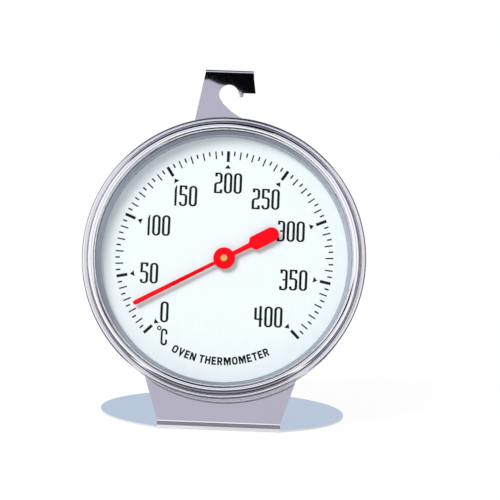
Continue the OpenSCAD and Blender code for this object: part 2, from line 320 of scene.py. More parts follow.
def grown(name, line, tree, material, inputs):
    """Runs a Geometry Nodes tree on a line mesh and returns the plain mesh that it makes."""
    points, edges = line
    data = bpy.data.meshes.new(name + "_line")
    data.from_pydata([(x, y, 0) for x, y in points], edges, [])
    source = linked(name + "_source", data)
    modifier = source.modifiers.new("shape", "NODES")
    modifier.node_group = tree
    sockets = {item.name: item.identifier for item in tree.interface.items_tree
               if getattr(item, "in_out", "") == "INPUT"}
    inputs = {**inputs, "Recline": RECLINE, "Place": PIVOT, "Finish": material}
    for key, value in inputs.items():
        modifier[sockets[key]] = value
    made = evaluated(source)
    if len(made.polygons) == 0:
        raise RuntimeError(name + " came out empty")
    return made


def new_tree(name, inputs):
    """An empty Geometry Nodes tree with named inputs, its net, and the wire of its inputs."""
    tree = bpy.data.node_groups.new(name, "GeometryNodeTree")
    tree.interface.new_socket("Geometry", in_out="OUTPUT", socket_type="NodeSocketGeometry")
    tree.interface.new_socket("Geometry", in_out="INPUT", socket_type="NodeSocketGeometry")
    placing = ("Recline", "Float"), ("Place", "Vector"), ("Finish", "Material")
    for label, kind in (*inputs, *placing):
        tree.interface.new_socket(label, in_out="INPUT", socket_type="NodeSocket" + kind)
    net = Net(tree)
    return tree, net, net.node("NodeGroupInput")


def finish_tree(net, given, shape):
    """Ends a tree: leans the shape back in its place, and makes it real geometry with its material."""
    leaned = net.node("GeometryNodeTransform", {
        "Geometry": shape, "Translation": given["Place"],
        "Rotation": net.join(given["Recline"], 0.0, 0.0)})
    real = net.node("GeometryNodeRealizeInstances", {"Geometry": leaned})
    painted = net.node("GeometryNodeSetMaterial",
                       {"Geometry": real, "Material": given["Finish"]})
    net.node("NodeGroupOutput", {0: painted})


TURNING_RADIUS = 10 * MM


def turning_tree():
    """Turns a closed outline, given as radius and height, round the dial's axis."""
    tree, net, given = new_tree("turning", [("Segments", "Int"), ("Weld", "Float")])
    outline = net.node("GeometryNodeMeshToCurve", {"Mesh": given})
    path = net.node("GeometryNodeCurvePrimitiveCircle",
                    {"Resolution": given["Segments"], "Radius": TURNING_RADIUS})
    swept = net.node("GeometryNodeCurveToMesh", {"Curve": path, "Profile Curve": outline})
    welded = net.node("GeometryNodeMergeByDistance",
                      {"Geometry": swept, "Distance": given["Weld"]})
    finish_tree(net, given, welded)
    return tree


def loop_of(outline):
    """Points and edges of a closed outline, in the sense that the turning tree takes."""
    points = [(radius - TURNING_RADIUS, -height) for radius, height in reversed(outline)]
    return points, [(index, (index + 1) % len(points)) for index in range(len(points))]


def turned(name, outline, look, body, slot, node, segments=FINE_TURN):
    """A piece turned about the dial's axis. The outline runs anticlockwise in radius and height."""
    tree = bpy.data.node_groups.get("turning") or turning_tree()
    data = grown(name, loop_of(outline), tree, finish(look), {"Segments": segments, "Weld": 1e-6})
    fit_in(placed(name, outward(data)), body, slot, node)


def dress(piece, material):
    """Gives a piece its only material."""
    piece.data.materials.clear()
    piece.data.materials.append(material)


def fit_in(piece, body, slot, *nodes):
    """Rides a piece on its body and hides the CAD nodes that it stands for; its slot is not used."""
    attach(piece, body)
    if nodes:
        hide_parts(*nodes)


# ---- finishes

def emptied(owner):
    """The net of a material or a world, with no nodes in it yet."""
    owner.use_nodes = True
    owner.node_tree.nodes.clear()
    return Net(owner.node_tree)


def new_material(name, **constants):
    """A material with a Principled shader whose constant sockets are set directly."""
    material = bpy.data.materials.new(name)
    net = emptied(material)
    shader = net.node("ShaderNodeBsdfPrincipled",
                      {key.replace("_", " "): value for key, value in constants.items()})
    net.node("ShaderNodeOutputMaterial", {"Surface": shader})
    return material, net, shader.socket.node


def feed(net, shader, **links):
    """Links wires to the inputs of a shader."""
    for key, wire in links.items():
        net.put(shader.inputs[key.replace("_", " ")], wire)


def dial_place(net):
    """Object coordinates, moved into the dial's frame and counted in millimetres."""
    return net.node("ShaderNodeMapping", {
        "Vector": net.where(), "Location": PIVOT, "Rotation": (RECLINE, 0, 0),
        "Scale": (MM, MM, MM)}, vector_type="TEXTURE")


def bump(net, height, distance, strength=1.0):
    """A normal raised by a height, with its distance in metres."""
    return net.node("ShaderNodeBump",
                    {"Height": height, "Distance": distance, "Strength": strength})


def lathe_lines(net, place, fineness):
    """Fine lines that run round the dial's axis."""
    x, y, z = net.split(place)
    radius = (x * x + y * y) ** 0.5
    around = net.vector("NORMALIZE", net.join(x, y, 0.0))
    ax, ay, _ = net.split(around)
    return net.noise(net.join(ax * 1.2, ay * 1.2, (radius + z) * fineness), 1.0, 3.0, 0.6)


def metal(name, colour, roughness, pattern, depth, tint, spread, scale=1.0, metallic=1.0):
    """A bright metal. Its pattern is turned, rolled or plain."""
    material, net, shader = new_material(name, Metallic=metallic)
    place = dial_place(net)
    x, y, z = net.split(place)
    if pattern == "turned":
        grain = lathe_lines(net, place, 9.0 * scale)
    elif pattern == "rolled":
        grain = net.noise(net.join(x * 7.0 * scale, y * 0.16, z * 7.0), 1.0, 3.0, 0.6)
    else:
        grain = net.noise(place, 4.0 * scale, 3.0, 0.6)
    cloud = net.noise(place, 0.09, 2.0)
    speck = net.noise(place, 1.7, 2.0)
    shade = (grain - 0.5) * tint + (cloud - 0.5) * (2 * tint) + 1.0
    rough = (grain - 0.5) * spread + (cloud - 0.5) * spread + speck * (spread * 0.5) + roughness
    feed(net, shader, Base_Color=net.scaled(colour, shade), Roughness=rough,
         Normal=bump(net, grain, depth))
    return material


def glass_finish():
    """Clear glass that light passes straight through, with a reflection that grows to its edge."""
    material = bpy.data.materials.new("clear_glass")
    net = emptied(material)
    place = dial_place(net)
    ripple = net.noise(place, 0.12, 2.0)
    smear = net.noise(place, 0.35, 3.0)
    normal = bump(net, ripple, 4e-5, 0.2)
    clear = net.node("ShaderNodeBsdfTransparent", {"Color": (0.985, 0.995, 0.995, 1)})
    shine = net.node("ShaderNodeBsdfPrincipled", {
        "Metallic": 1.0, "Base Color": (0.22, 0.22, 0.23, 1), "Roughness": smear * 0.04 + 0.02,
        "Normal": normal})
    edge = net.node("ShaderNodeFresnel", {"IOR": 1.45})
    inner_face = net.node("ShaderNodeNewGeometry")["Backfacing"]
    both = net.node("ShaderNodeMixShader", {0: edge * (1.0 - inner_face), 1: clear, 2: shine})
    net.node("ShaderNodeOutputMaterial", {"Surface": both})
    return material


def dial_finish(colour):
    """Satin white sheet with a faint upright brushing under the lacquer."""
    material, net, shader = new_material("dial_white", Metallic=0.0, Specular_IOR_Level=0.06)
    place = dial_place(net)
    x, y, z = net.split(place)
    brush = net.noise(net.join(x * 3.4, y * 0.11, z), 1.0, 3.0, 0.65)
    fine = net.noise(net.join(x * 12.0, y * 0.5, z), 1.0, 2.0)
    cloud = net.noise(place, 0.06, 2.0)
    shade = (brush - 0.5) * 0.075 + (fine - 0.5) * 0.03 + (cloud - 0.5) * 0.03 + 1.0
    feed(net, shader, Base_Color=net.scaled(colour, shade), Roughness=(brush - 0.5) * 0.15 + 0.5,
         Normal=bump(net, brush, 4e-6))
    return material


def ink_finish(colour):
    """Matt black screen ink with thin spots."""
    material, net, shader = new_material("dial_ink", Specular_IOR_Level=0.04)
    place = dial_place(net)
    body = net.noise(place, 2.6, 3.0)
    thin = tuple(min(1.0, 2.2 * part + 0.004) for part in colour)
    base = net.mix(body.step(0.35, 0.8), colour, thin)
    feed(net, shader, Base_Color=base, Roughness=body * 0.2 + 0.4,
         Normal=bump(net, net.noise(place, 9.0), 3e-6))
    return material


def paint_finish(colour, shade):
    """Glossy red lacquer, with painted shade on the bevelled edges that turn away from the dial's axis.
    """
    material, net, shader = new_material(
        "pointer_lacquer", Coat_Weight=0.02, Coat_Roughness=0.12, Specular_IOR_Level=0.06)
    place = dial_place(net)
    facing = net.node("ShaderNodeNewGeometry", out="Normal")
    rise = net.vector("DOT_PRODUCT", facing, tuple(OUT), out="Value")
    flow = net.noise(place, 0.8, 2.0)
    # Painted shade: the red turns darker where the surface turns away from the dial's axis, on the
    # pointer's bevelled edges
    edge = 1.0 - rise.step(0.55, 0.98)
    base = net.mix(edge * 0.9 + (flow - 0.5) * 0.06, colour, shade)
    feed(net, shader, Base_Color=base, Roughness=flow * 0.12 + 0.3,
         Normal=bump(net, flow, 1.2e-5))
    return material


# Each metal: its material, colour, roughness and pattern, the depth of the pattern in metres, the spread
# of its tint and of its roughness, and for some the fineness of the pattern and how metallic it is
METALS = {
    "bezel": ("bezel_chrome", "chrome", 0.08, "turned", 1e-7, 0.015, 0.03),
    "case": ("case_steel", "steel", 0.22, "turned", 1e-7, 0.04, 0.04),
    "stand": ("stand_steel", "steel", 0.045, "rolled", 1.5e-7, 0.03, 0.04),
    "spacer": ("spacer_aluminium", "spacer", 0.22, "turned", 1.5e-6, 0.03, 0.08, 1.0, 0.45),
    "rivet": ("rivet_steel", "steel", 0.22, "plain", 2e-6, 0.05, 0.10),
    "inner": ("zinc_steel", "zinc", 0.34, "plain", 3e-6, 0.10, 0.14),
    "brass": ("turned_brass", "brass", 0.20, "turned", 1.5e-6, 0.05, 0.08, 2.0, 0.5),
    "bimetal": ("bimetal_strip", "bimetal", 0.30, "plain", 2e-6, 0.10, 0.12),
    "spindle": ("spindle_steel", "steel", 0.16, "turned", 1e-6, 0.03, 0.06, 2.0),
}
FINISHES = {}


def finish(name):
    """The material of one finish, made on first use."""
    looks = bpy.context.scene.thermometer_finishes
    if name not in FINISHES and name in METALS:
        label, colour, *rest = METALS[name]
        FINISHES[name] = metal(label, getattr(looks, colour), *rest)
    elif name not in FINISHES:
        FINISHES[name] = {
            "glass": glass_finish,
            "dial": lambda: dial_finish(looks.dial),
            "ink": lambda: ink_finish(tuple(looks.ink)),
            "pointer": lambda: paint_finish(tuple(looks.red), tuple(looks.red_edge_shade)),
        }[name]()
    return FINISHES[name]


# ---- sizes

def size(name, about, default):
    """A length in metres."""
    return FloatProperty(name=name, description=about, default=default, min=0.0, unit="LENGTH",
                         precision=5)


def angle_of(name, about, degrees):
    """An angle, given in degrees and kept in radians."""
    return FloatProperty(name=name, description=about, default=math.radians(degrees), subtype="ANGLE")


def number_of(name, about, default):
    """A plain number."""
    return FloatProperty(name=name, description=about, default=default)


def colour_of(name, about, default):
    """A colour in linear light."""
    return FloatVectorProperty(name=name, description=about, default=default, size=3, min=0.0,
                               max=1.0, subtype="COLOR")


class ThermometerCase(bpy.types.PropertyGroup):
    sheet: size("Case sheet", "Thickness of the pressed sheet", 0.5 * MM)
    edge_round: size("Edge round", "Radius of the worn edges of turned pieces", 0.08 * MM)
    roll: size("Rim roll", "Diameter of the roll around the rim", 1.5 * MM)
    wall_inset: size("Wall inset", "From the outside of the roll to the outside of the wall", 0.3 * MM)
    crown: size("Crown width", "Width of the crown of the bezel", 2.05 * MM)
    stand_edge: size("Stand edge", "Radius of the cut edges of the stand", 0.13 * MM)


class ThermometerDial(bpy.types.PropertyGroup):
    mark_reach: size("Mark reach", "Outer end of every mark to the axis", 28.9 * MM)
    major_length: size("Major mark length", "Length of a mark at each 50 degrees", 2.9 * MM)
    major_width: size("Major mark width", "Width of a mark at each 50 degrees", 0.78 * MM)
    ten_length: size("Long mark length", "Length of a mark at each 10 degrees", 2.1 * MM)
    ten_width: size("Long mark width", "Width of a mark at each 10 degrees", 0.36 * MM)
    five_length: size("Short mark length", "Length of a mark half way between", 1.2 * MM)
    five_width: size("Short mark width", "Width of a mark half way between", 0.40 * MM)
    arrow_reach: size("Arrow reach", "Tip of each arrow to the axis", 25.3 * MM)
    arrow_height: size("Arrow height", "Height of each arrow", 1.1 * MM)
    arrow_width: size("Arrow width", "Width of the foot of each arrow", 1.6 * MM)
    figure_height: size("Figure height", "Height of the figures", 5.5 * MM)
    wording_reach: size("Wording reach", "Middle of the wording to the axis", 27.2 * MM)
    wording_height: size("Wording height", "Height of the letters", 2.1 * MM)
    ink: size("Ink thickness", "Height of the ink above the dial", 0.02 * MM)
    wording: StringProperty(name="Wording", description="Generic wording along the foot of the dial",
                            default="OVEN THERMOMETER")
    marks: IntProperty(name="Marks", description="Number of marks on the scale", default=81, min=2)


class ThermometerFinishes(bpy.types.PropertyGroup):
    chrome: colour_of("Chrome", "Polished bezel", (0.90, 0.90, 0.93))
    steel: colour_of("Steel", "Bright rolled steel", (0.82, 0.82, 0.85))
    spacer: colour_of("Spacer", "Anodised cone under the glass", (0.46, 0.49, 0.56))
    zinc: colour_of("Zinc", "Plated inner pieces", (0.62, 0.63, 0.66))
    brass: colour_of("Brass", "Turned brass", (1.0, 0.55, 0.16))
    bimetal: colour_of("Bimetal", "Bimetal strip", (0.55, 0.50, 0.44))
    dial: colour_of("Dial", "Dial face", (0.90, 0.94, 0.95))
    ink: colour_of("Ink", "Printing on the dial", (0.006, 0.006, 0.007))
    red: colour_of("Pointer red", "Face of the pointer", (1.0, 0.0, 0.006))
    # Colour of the painted shade on the pointer's bevelled edges
    red_edge_shade: colour_of("Pointer edge", "Edge of the pointer", (0.55, 0.004, 0.008))


class ThermometerStage(bpy.types.PropertyGroup):
    distance: size("Camera distance", "From the aim point to the camera", 0.6)
    elevation: angle_of("Elevation", "Camera above the horizon", 8.925)
    azimuth: angle_of("Azimuth", "Camera turned to the right of the front", 1.436)
    roll: angle_of("Roll", "Turn of the camera about its own line of sight", 1.864)
    lens: number_of("Lens", "Focal length in millimetres on a 36 mm sensor", 163.02)
    aim_right: size("Aim right", "Aim point to the right of the dial's axis", 6.826 * MM)
    aim_up: size("Aim up", "Aim point above the dial's axis", 2.332 * MM)
    aim_out: size("Aim out", "Aim point in front of the back plate", 6.3 * MM)
    key_power: number_of("Key power", "Watts of the key lamp", 28.0)
    fill: number_of("Fill", "Strength of the light from all round", 0.52)
    floor: size("Floor size", "Width of the floor", 1.6)


# ---- pieces

class THERMOMETER_OT_bezel(bpy.types.Operator):
    """Turns the rolled bezel that holds the glass"""
    bl_idname = "thermometer.bezel"
    bl_label = "Bezel"
    bl_options = UNDO

    def execute(self, context):
        sizes = context.scene.thermometer_case
        ring = span("bezel_ring")
        glass = span("lens_glass")
        rise = sizes.crown / 2
        middle, spring = ring.outer - rise, ring.high - rise
        edge = sizes.edge_round
        outline = arc(middle, spring, rise, 0, 180, 40)
        outline += softened([
            (ring.inner, spring), (ring.inner, glass.high, edge * 2),
            (ring.inner + sizes.sheet, glass.high, edge * 2), (ring.inner + sizes.sheet, spring)])[1:-1]
        outline += arc(middle, spring, rise - sizes.sheet, 180, 0, 24)
        outline += softened([
            (ring.outer - sizes.sheet, spring), (ring.outer - sizes.sheet, ring.low, edge),
            (ring.outer, ring.low, edge), (ring.outer, spring)])[1:-1]
        turned("bezel_crown", outline, "bezel", CASE_BODY, "bezel", "bezel_ring")
        return {"FINISHED"}


class THERMOMETER_OT_case(bpy.types.Operator):
    """Presses the case: the floor with its holes from the CAD, the wall and its rolled rim turned"""
    bl_idname = "thermometer.case"
    bl_label = "Case"
    bl_options = UNDO

    def execute(self, context):
        sizes = context.scene.thermometer_case
        cup = span("case_cup")
        strip = 1.2 * MM
        cut = cup.low + strip
        floor = merged_copy("case_cup", False)
        bmesh.ops.bisect_plane(floor, geom=[*floor.verts, *floor.edges, *floor.faces], dist=1e-7,
                               plane_co=DIAL @ Vector((0, 0, cut)), plane_no=OUT, clear_outer=True)
        bmesh.ops.bridge_loops(floor, edges=[edge for edge in floor.edges if edge.is_boundary])
        bmesh.ops.recalc_face_normals(floor, faces=floor.faces)
        piece = placed("case_floor", floor, 40)
        dress(piece, finish("case"))
        fit_in(piece, CASE_BODY, "case_cup", "case_cup")

        roll = sizes.roll / 2
        middle, spring = cup.outer - roll, cup.high - roll
        wall = cup.outer - sizes.wall_inset
        inner = wall - sizes.sheet
        start, end = (-math.degrees(math.acos((side - middle) / roll)) for side in (wall, inner))
        outline = [(wall, cut), *arc(middle, spring, roll, start, 360 + end, 72), (inner, cut)]
        turned("case_wall", outline, "case", CASE_BODY, "case_cup", "case_cup")
        return {"FINISHED"}


class THERMOMETER_OT_spacer(bpy.types.Operator):
    """Turns the cone between the dial and the glass"""
    bl_idname = "thermometer.spacer"
    bl_label = "Spacer"
    bl_options = UNDO

    def execute(self, context):
        cone = span("spacer_ring")
        ring = span("bezel_ring")
        thick, bead, bend = 0.25 * MM, 0.22 * MM, 0.3 * MM
        edge, lip = 0.05 * MM, 0.1 * MM
        top = ring.inner - 0.2 * MM
        outside, inside = cone.inner + lip + thick, cone.inner + 0.14 * MM
        flare = (top - cone.inner - lip) * 0.58
        outline = softened([
            (cone.inner, cone.low, edge), (cone.inner + thick, cone.low, edge),
            (outside, cone.high - flare - thick / 2, bend), (top + thick / 2, cone.high - thick, lip),
            (cone.outer, cone.high - thick, edge), (cone.outer, cone.high, edge),
            (top, cone.high, lip), (inside, cone.high - flare, bend),
            (inside, cone.low + bead * 1.2, 0.06 * MM), (cone.inner, cone.low + bead, 0.09 * MM)],
            closed=True)
        turned("spacer_cone", outline, "spacer", CASE_BODY, "spacer", "spacer_ring")
        return {"FINISHED"}


class THERMOMETER_OT_glass(bpy.types.Operator):
    """Grinds the glass"""
    bl_idname = "thermometer.glass"
    bl_label = "Glass"
    bl_options = UNDO

    def execute(self, context):
        disc = span("lens_glass")
        edge = 0.15 * MM
        outline = softened([
            (0, disc.low), (disc.outer, disc.low, edge), (disc.outer, disc.high, edge),
            (0, disc.high)], closed=True, steps=3)
        turned("glass_disc", outline, "glass", CASE_BODY, "glass", "lens_glass", 256)
        return {"FINISHED"}


SCALE_START, SCALE_SWEEP = 225, 270  # degrees: the angle of zero from +X, and the whole scale
FIVES, FIFTIES = 80, 8  # steps of 5 and of 50 degrees Celsius in the scale


def marks_tree():
    """Marks along the scale, longer at each second one and longest at each tenth, and arrows."""
    tree, net, given = new_tree("scale_marks", [
        ("Marks", "Int"), ("Reach", "Float"), ("Major", "Vector"), ("Ten", "Vector"),
        ("Five", "Vector"), ("Low", "Float"), ("Arrow", "Vector"), ("Arrow reach", "Float")])
    index = net.node("GeometryNodeInputIndex")

    def every(step):
        return (index / float(step)).math("FRACT") < (0.5 / step)

    def choose(test, first, second):
        return net.node("GeometryNodeSwitch", {"Switch": test, "False": first, "True": second},
                        input_type="VECTOR")

    def along_scale(steps, count, size, middle, shape):
        """Copies of a shape round the scale, with this many steps in the whole scale."""
        angle = math.radians(SCALE_START) - index * math.radians(SCALE_SWEEP / steps)
        spot = net.join(angle.math("COSINE") * middle, angle.math("SINE") * middle,
                        net.split(size)[2] / 2.0 + given["Low"])
        points = net.node("GeometryNodePoints", {"Count": count, "Position": spot})
        return net.node("GeometryNodeInstanceOnPoints", {
            "Points": points, "Instance": shape, "Scale": size, "Rotation": net.join(0.0, 0.0, angle)})

    mark = choose(every(2), given["Five"], given["Ten"])
    mark = choose(every(10), mark, given["Major"])
    block = net.node("GeometryNodeMeshCube", {"Size": (1, 1, 1)})
    blocks = along_scale(FIVES, given["Marks"], mark,
                         given["Reach"] - net.split(mark)[0] / 2.0, block)
    arrow = given["Arrow"]
    wedge = net.node("GeometryNodeMeshCylinder", {"Vertices": 3, "Radius": 1.0, "Depth": 1.0})
    arrows = along_scale(FIFTIES, FIFTIES + 1, arrow,
                         given["Arrow reach"] - net.split(arrow)[0], wedge)
    both = net.node("GeometryNodeJoinGeometry")
    for part in (blocks, arrows):
        net.put(both.socket.node.inputs[0], part)
    finish_tree(net, given, both)
    return tree


class THERMOMETER_OT_marks(bpy.types.Operator):
    """Prints the marks and arrows of the scale"""
    bl_idname = "thermometer.marks"
    bl_label = "Scale marks"
    bl_options = UNDO

    def execute(self, context):
        sizes = context.scene.thermometer_dial
        ink = sizes.ink
        data = grown("dial_marks", ([(0, 0)], []), marks_tree(), finish("ink"), {
            "Marks": sizes.marks, "Reach": sizes.mark_reach,
            "Major": (sizes.major_length, sizes.major_width, ink),
            "Ten": (sizes.ten_length, sizes.ten_width, ink),
            "Five": (sizes.five_length, sizes.five_width, ink),
            "Low": span("dial_plate").high - ink / 4, "Arrow reach": sizes.arrow_reach,
            # A three-sided cylinder of radius 1 is 1.5 high and 1.732 wide
            "Arrow": (sizes.arrow_height / 1.5, sizes.arrow_width / 1.732, ink)})
        fit_in(placed("dial_marks", data), CASE_BODY, "dial")
        return {"FINISHED"}


# Pen paths of the figures, in a box 8 wide and 20.7 high. A third number rounds a corner
FIGURES = {
    "0": (8.0, [((1.12, 0.7, 2.8), (6.88, 0.7, 2.8), (6.88, 20, 2.8), (1.12, 20, 2.8), None)]),
    "1": (3.5, [{"left": [(0.6, 0), (0.6, 17.4), (2.3, 20.8)],
                 "right": [(2.8, 0), (2.8, 17.9), (3.1, 20.8)]}]),
    "2": (8.0, [((1.9, 16.8), (1.9, 20), (6.85, 20, 2.4), (6.85, 10.3, 2.4), (1.15, 10.3, 2.4),
                 (1.15, 0.7), (6.9, 0.7), (6.9, 3.9))]),
    "3": (8.0, [((1.9, 16.8), (1.9, 20), (6.85, 20, 2.4), (6.85, 0.7, 2.6), (1.15, 0.7, 0.5),
                 (1.15, 4.0)), ((3.0, 10.4), (5.72, 10.4))]),
    "4": (8.3, [((1.2, 19.2), (1.2, 7.7, 0.6), (4.97, 7.7)), ((6.1, 0), (6.1, 20.9)),
                ((7.23, 7.7), (8.2, 7.7))]),
    "5": (8.0, [((6.6, 16.9), (6.6, 20), (1.3, 20), (1.3, 11.6), (6.85, 11.6, 2.4), (6.85, 0.7, 2.6),
                 (1.15, 0.7, 2.2), (1.15, 4.0))]),
}
FIGURE_BOX = 20.7
FIGURE_PEN = 1.65
FIGURE_STRETCH = 1.5
FIGURE_GAP = 1.8
# Middle of each number on the dial, as its distance in millimetres and its angle from +X
NUMBERS = {
    "0": (21.18, -136.0), "50": (20.26, -167.1), "100": (19.63, 155.0), "150": (19.79, 123.7),
    "200": (20.28, 89.4), "250": (19.36, 57.6), "300": (19.09, 24.6), "350": (19.17, -15.2),
    "400": (19.38, -50.8),
}
# The unit: the place of each sign, its path and the width of its pen
DEGREE_SIGN = (25.12, -130.8)
DEGREE_PATH, DEGREE_PEN = arc(0, 0, 1.68, 0, 350, 35), 1.2
LETTER_C = (26.15, -125.2)
LETTER_C_PATH, LETTER_C_PEN = softened([
    (2.3, 2.6), (2.3, 7.4, 2.2), (-2.3, 7.4, 2.2), (-2.3, -7.4, 2.2), (2.3, -7.4, 2.2),
    (2.3, -2.6)]), 1.95


def drawn(stroke, width, stretch=1.0):
    """Both sides of one stroke of a figure or a letter, and whether it closes on itself."""
    if isinstance(stroke, dict):
        return stroke["left"], stroke["right"], False
    closed = stroke[-1] is None
    corners = stroke[:-1] if closed else stroke
    return ribbon(softened(corners, closed), width, closed, stretch)


def on_dial(place):
    """X and Y of a place on the dial."""
    reach, angle = place[0] * MM, math.radians(place[1])
    return reach * math.cos(angle), reach * math.sin(angle)


def moved(stroke, x, y, unit):
    """A stroke counted in units, at its size and in its place."""
    *sides, closed = stroke
    left, right = ([(x + across * unit, y + up * unit) for across, up in side] for side in sides)
    return left, right, closed


class THERMOMETER_OT_figures(bpy.types.Operator):
    """Prints the numbers of the scale and its unit"""
    bl_idname = "thermometer.figures"
    bl_label = "Figures"
    bl_options = UNDO

    def execute(self, context):
        sizes = context.scene.thermometer_dial
        unit = sizes.figure_height / FIGURE_BOX
        strokes = []
        for number, place in NUMBERS.items():
            width = sum(FIGURES[digit][0] for digit in number) + FIGURE_GAP * (len(number) - 1)
            x, y = on_dial(place)
            pen_x, base_y = x - width * unit / 2, y - sizes.figure_height / 2
            for digit in number:
                advance, paths = FIGURES[digit]
                strokes += [moved(drawn(path, FIGURE_PEN, FIGURE_STRETCH), pen_x, base_y, unit)
                            for path in paths]
                pen_x += (advance + FIGURE_GAP) * unit
        strokes.append(moved(ribbon(LETTER_C_PATH, LETTER_C_PEN), *on_dial(LETTER_C), unit))
        strokes.append(moved(ribbon(DEGREE_PATH, DEGREE_PEN, True), *on_dial(DEGREE_SIGN), unit))
        print_ink("dial_figures", strokes, sizes.ink)
        return {"FINISHED"}


# Pen paths of the letters, each with its width, in a box 8 high
LETTERS = {
    "O": (5.7, [((0.85, 0.8, 1.9), (4.85, 0.8, 1.9), (4.85, 7.2, 1.9), (0.85, 7.2, 1.9), None)]),
    "V": (5.8, [((0.8, 8.0), (2.9, 0.85), (5.0, 8.0))]),
    "E": (4.6, [((4.5, 7.2), (0.85, 7.2), (0.85, 0.8), (4.6, 0.8)), ((1.7, 4.1), (4.2, 4.1))]),
    "N": (5.8, [((0.85, 0), (0.85, 8.0)), ((1.7, 7.0), (4.1, 1.0)), ((4.95, 0), (4.95, 8.0))]),
    "T": (5.0, [((0, 7.2), (5.0, 7.2)), ((2.5, 0), (2.5, 6.35))]),
    "H": (5.4, [((0.85, 0), (0.85, 8.0)), ((4.55, 0), (4.55, 8.0)), ((1.7, 4.1), (3.7, 4.1))]),
    "R": (5.4, [((0.85, 0), (0.85, 7.2), (4.35, 7.2, 1.4), (4.35, 3.8, 1.4), (1.7, 3.8)),
                ((3.2, 2.95), (4.5, 0))]),
    "M": (7.2, [((0.85, 0), (0.85, 8.0)), ((1.75, 7.4), (3.6, 1.6), (5.45, 7.4)),
                ((6.35, 0), (6.35, 8.0))]),
    " ": (1.4, []),
}
LETTER_BOX = 8.0
LETTER_PEN = 1.7
LETTER_GAP = 1.1


class THERMOMETER_OT_wording(bpy.types.Operator):
    """Prints the generic wording along the foot of the dial"""
    bl_idname = "thermometer.wording"
    bl_label = "Wording"
    bl_options = UNDO

    def execute(self, context):
        sizes = context.scene.thermometer_dial
        unit = sizes.wording_height / LETTER_BOX
        text = sizes.wording
        whole = sum(LETTERS[letter][0] for letter in text) + LETTER_GAP * (len(text) - 1)
        ground = sizes.wording_reach + sizes.wording_height / 2
        pen = -whole / 2
        strokes = []
        for letter in text:
            width, paths = LETTERS[letter]
            turn = (pen + width / 2) * unit / sizes.wording_reach
            for path in paths:
                *sides, closed = moved(drawn(path, LETTER_PEN), -width / 2 * unit, -ground, unit)
                left, right = ([(x * math.cos(turn) - y * math.sin(turn),
                                 x * math.sin(turn) + y * math.cos(turn)) for x, y in side]
                               for side in sides)
                strokes.append((left, right, closed))
            pen += width + LETTER_GAP
        print_ink("dial_wording", strokes, sizes.ink)
        return {"FINISHED"}


class THERMOMETER_OT_pointer(bpy.types.Operator):
    """Stamps and lacquers the pointer"""
    bl_idname = "thermometer.pointer"
    bl_label = "Pointer"
    bl_options = UNDO

    def execute(self, context):
        blade = merged_copy("pointer")
        blade.normal_update()
        disc = span("pointer_hub").outer + 2 * MM
        disc_swell, blade_swell = 0.08 * MM, 0.19 * MM
        into = DIAL.inverted()
        for vertex in blade.verts:
            aside = vertex.normal - OUT * vertex.normal.dot(OUT)
            spot = into @ vertex.co
            near = math.hypot(spot.x, spot.y) < disc
            vertex.co += aside.normalized() * (disc_swell if near else blade_swell)
        piece = worn("pointer_blade", blade, "pointer", 0.1 * MM, 3)
        fit_in(piece, POINTER_BODY, "pointer_red", "pointer")
        return {"FINISHED"}


class THERMOMETER_OT_boss(bpy.types.Operator):
    """Turns the brass boss in the middle of the pointer"""
    bl_idname = "thermometer.boss"
    bl_label = "Boss"
    bl_options = UNDO

    def execute(self, context):
        boss = span("pointer_hub")
        blade = span("pointer")
        neck, roof, edge = 0.9 * MM, 0.06 * MM, 0.1 * MM
        inside = max(boss.high, span("spindle").high) + 0.01 * MM
        outline = softened([
            (boss.inner, boss.low, 0.03 * MM), (boss.outer, boss.low, edge),
            (boss.outer, blade.low, edge), (neck, blade.low), (neck, inside - 2 * roof, 0.2 * MM),
            (0, inside + roof), (0, inside), (boss.inner, inside)], closed=True, steps=8)
        turned("brass_boss", outline, "brass", POINTER_BODY, "brass", "pointer_hub", 96)
        return {"FINISHED"}


class THERMOMETER_OT_stand(bpy.types.Operator):
    """Bends the sheet that hangs and stands, with rounded cut edges"""
    bl_idname = "thermometer.stand"
    bl_label = "Stand"
    bl_options = UNDO

    def execute(self, context):
        edge = context.scene.thermometer_case.stand_edge
        piece = worn("bent_stand", merged_copy("hanger_stand"), "stand", edge)
        fit_in(piece, CASE_BODY, "stand_sheet", "hanger_stand")
        return {"FINISHED"}


class THERMOMETER_OT_movement(bpy.types.Operator):
    """Gives every carried-over CAD node its finish"""
    bl_idname = "thermometer.movement"
    bl_label = "Movement and dial"
    bl_options = UNDO

    def execute(self, context):
        kept = {
            "dial": ["dial_plate"], "rivet": ["case_rivets"],
            "inner": ["dial_support_ring", "movement_bridge", "bridge_rivets", "coil_anchor",
                      "anchor_rivet", "coil_end_rivet"],
            "brass": ["front_bearing", "rear_bearing", "thrust_washers", "coil_collet"],
            "bimetal": ["bimetal_coil"], "spindle": ["spindle"],
        }
        for name, nodes in kept.items():
            for slot in (slot for node in nodes for slot in NODES[node].material_slots):
                slot.material = finish(name)
        return {"FINISHED"}


# Strength of the floor's own light, and how much of it the camera and bright metal see
FLOOR_GLOW, FLOOR_SEEN, FLOOR_IN_METAL = 1.07, 0.85, 0.5
# Dark cards, with their corners in millimetres. The first four lie on the floor
CARDS = {
    "front_flag": [(-34, -84), (34, -84), (34, -24), (-34, -24)],
    "left_flag": [(-600, -60), (-42, -60), (-42, 600), (-600, 600)],
    "right_flag": [(42, -60), (600, -60), (600, 600), (42, 600)],
    "back_flag": [(-41, 32), (41, 32), (41, 600), (-41, 600)],
    "bow_flag": [(-22, -57), (28, -57), (28, -38), (-22, -38)],
    "top_flag": [(-60, -34), (-8, -34), (-5.5, -36.5), (-2, -38), (1, -41), (3, -47), (7, -52),
                 (14, -52), (18, -34), (60, -34), (60, -8), (-60, -8)],
}
KEY_PLACE = Vector((-0.88, -1.20, 1.30))  # of the key lamp, from the dial's middle
KEY_SIZE = 0.9


